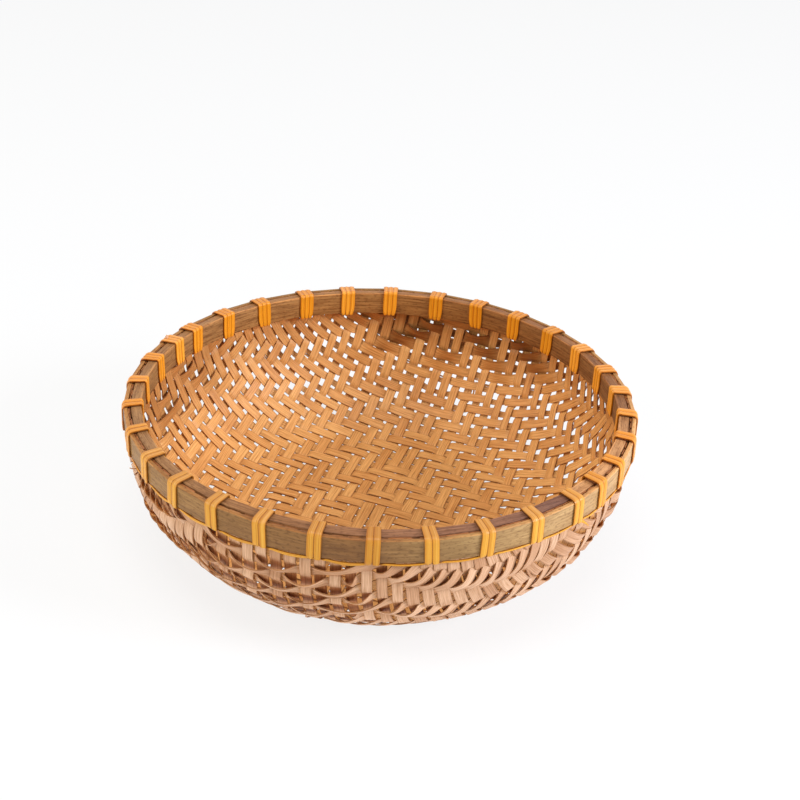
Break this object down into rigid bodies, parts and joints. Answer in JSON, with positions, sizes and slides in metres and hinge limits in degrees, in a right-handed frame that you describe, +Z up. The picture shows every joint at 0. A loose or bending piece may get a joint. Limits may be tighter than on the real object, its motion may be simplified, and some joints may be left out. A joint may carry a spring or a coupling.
{
  "type": "basket",
  "caption": "Round bamboo basket: a woven splint bowl whose edge is clamped between two bamboo hoops and lashed with a flat split strip.",
  "frame": {"origin": "the middle of the footprint, on the surface the basket stands on, under the centre of the rim", "axes": "+Z up through the middle of the bowl, +X to the right and +Y to the back as the picture shows it"},
  "size_m": [0.2599, 0.26, 0.0799],
  "materials": {
    "splint": "dry split bamboo, matte to satin",
    "outer_hoop": "bamboo skin, satin",
    "inner_hoop": "split bamboo, matte to satin",
    "lashing": "smooth flat strip, satin"
  },
  "bodies": {
    "root": {"woven_bowl": "splint", "outer_hoop": "outer_hoop", "inner_hoop": "inner_hoop", "lashing_01": "lashing", "lashing_02": "lashing", "lashing_03": "lashing", "lashing_04": "lashing", "lashing_05": "lashing", "lashing_06": "lashing", "lashing_07": "lashing", "lashing_08": "lashing", "lashing_09": "lashing", "lashing_10": "lashing", "lashing_11": "lashing", "lashing_12": "lashing", "lashing_13": "lashing", "lashing_14": "lashing", "lashing_15": "lashing", "lashing_16": "lashing", "lashing_17": "lashing", "lashing_18": "lashing", "lashing_19": "lashing", "lashing_20": "lashing", "lashing_21": "lashing", "lashing_22": "lashing", "lashing_23": "lashing", "lashing_24": "lashing", "lashing_25": "lashing", "lashing_26": "lashing", "lashing_27": "lashing", "lashing_28": "lashing", "lashing_29": "lashing", "lashing_30": "lashing", "lashing_31": "lashing", "lashing_32": "lashing"}
  },
  "joints": []
}
